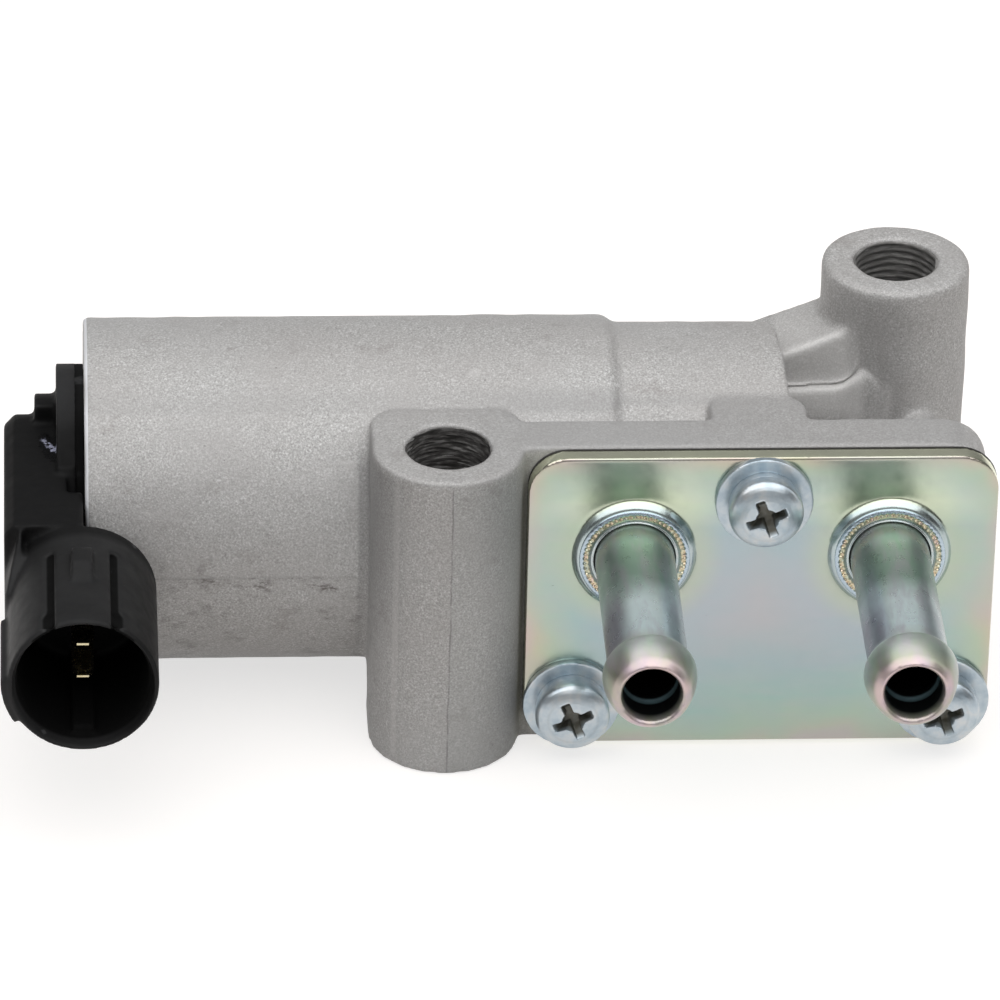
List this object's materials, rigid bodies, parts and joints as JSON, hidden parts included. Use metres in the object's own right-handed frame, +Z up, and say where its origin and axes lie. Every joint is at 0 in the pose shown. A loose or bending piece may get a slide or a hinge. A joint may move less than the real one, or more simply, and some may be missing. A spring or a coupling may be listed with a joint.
{
  "type": "idle air control valve",
  "caption": "Solenoid idle air control valve: cast aluminium body with bolt bosses, water-heated flange with hose nipples, air ports below and a round two-blade plug socket.",
  "frame": {"origin": "axis of the front bolt hole, on the mounting face", "axes": "+X along the barrel away from the connector, +Y from the coolant plate to the rear bolt, +Z up out of the mounting face, along the bolt holes"},
  "size_m": [0.0997, 0.066, 0.0389],
  "materials": {
    "cast_aluminium": "as-cast, fine-grained and matt",
    "yellow_zinc_steel": "iridescent yellow zinc plating",
    "clear_zinc_steel": "bright blue-white zinc plating",
    "gasket": "matt",
    "black_plastic": "moulded, low sheen",
    "bobbin_plastic": "moulded",
    "tinned_brass": "stamped and tinned",
    "rubber": "matt",
    "copper_winding": "enamelled copper wire",
    "bronze": "sintered",
    "brass": "turned",
    "turned_aluminium": "turned",
    "stainless_steel": "ground",
    "soft_iron": "turned soft iron"
  },
  "bodies": {
    "body": {"housing": "cast_aluminium", "coolant_plate": "yellow_zinc_steel", "coolant_gasket": "gasket", "coolant_nipple_left": "yellow_zinc_steel", "coolant_nipple_right": "yellow_zinc_steel", "cover_screw_top": "clear_zinc_steel", "cover_screw_left": "clear_zinc_steel", "cover_screw_right": "clear_zinc_steel", "spring_washer_top": "clear_zinc_steel", "spring_washer_left": "clear_zinc_steel", "spring_washer_right": "clear_zinc_steel", "flat_washer_top": "clear_zinc_steel", "flat_washer_left": "clear_zinc_steel", "flat_washer_right": "clear_zinc_steel", "connector_cap": "black_plastic", "terminal_upper": "tinned_brass", "terminal_lower": "tinned_brass", "cap_o_ring": "rubber", "end_plate": "soft_iron", "flux_sleeve": "soft_iron", "front_plate": "soft_iron", "coil_bobbin": "bobbin_plastic", "coil_winding": "copper_winding", "pole_core": "soft_iron", "rear_bush": "bronze", "bush_holder": "turned_aluminium", "front_bush": "bronze", "valve_seat": "stainless_steel", "return_spring": "stainless_steel", "port_o_ring_inlet": "rubber", "port_o_ring_outlet": "rubber"},
    "valve": {"armature": "soft_iron", "valve_shaft": "stainless_steel", "valve_head": "brass"}
  },
  "joints": [
    {"name": "valve_slide", "type": "slide", "parent": "body", "child": "valve", "axis": [-1, 0, 0], "range_m": [0, 0.002], "stiffness_N_per_m": 400, "springref_m": -0.004, "deforming": ["return_spring"]}
  ]
}
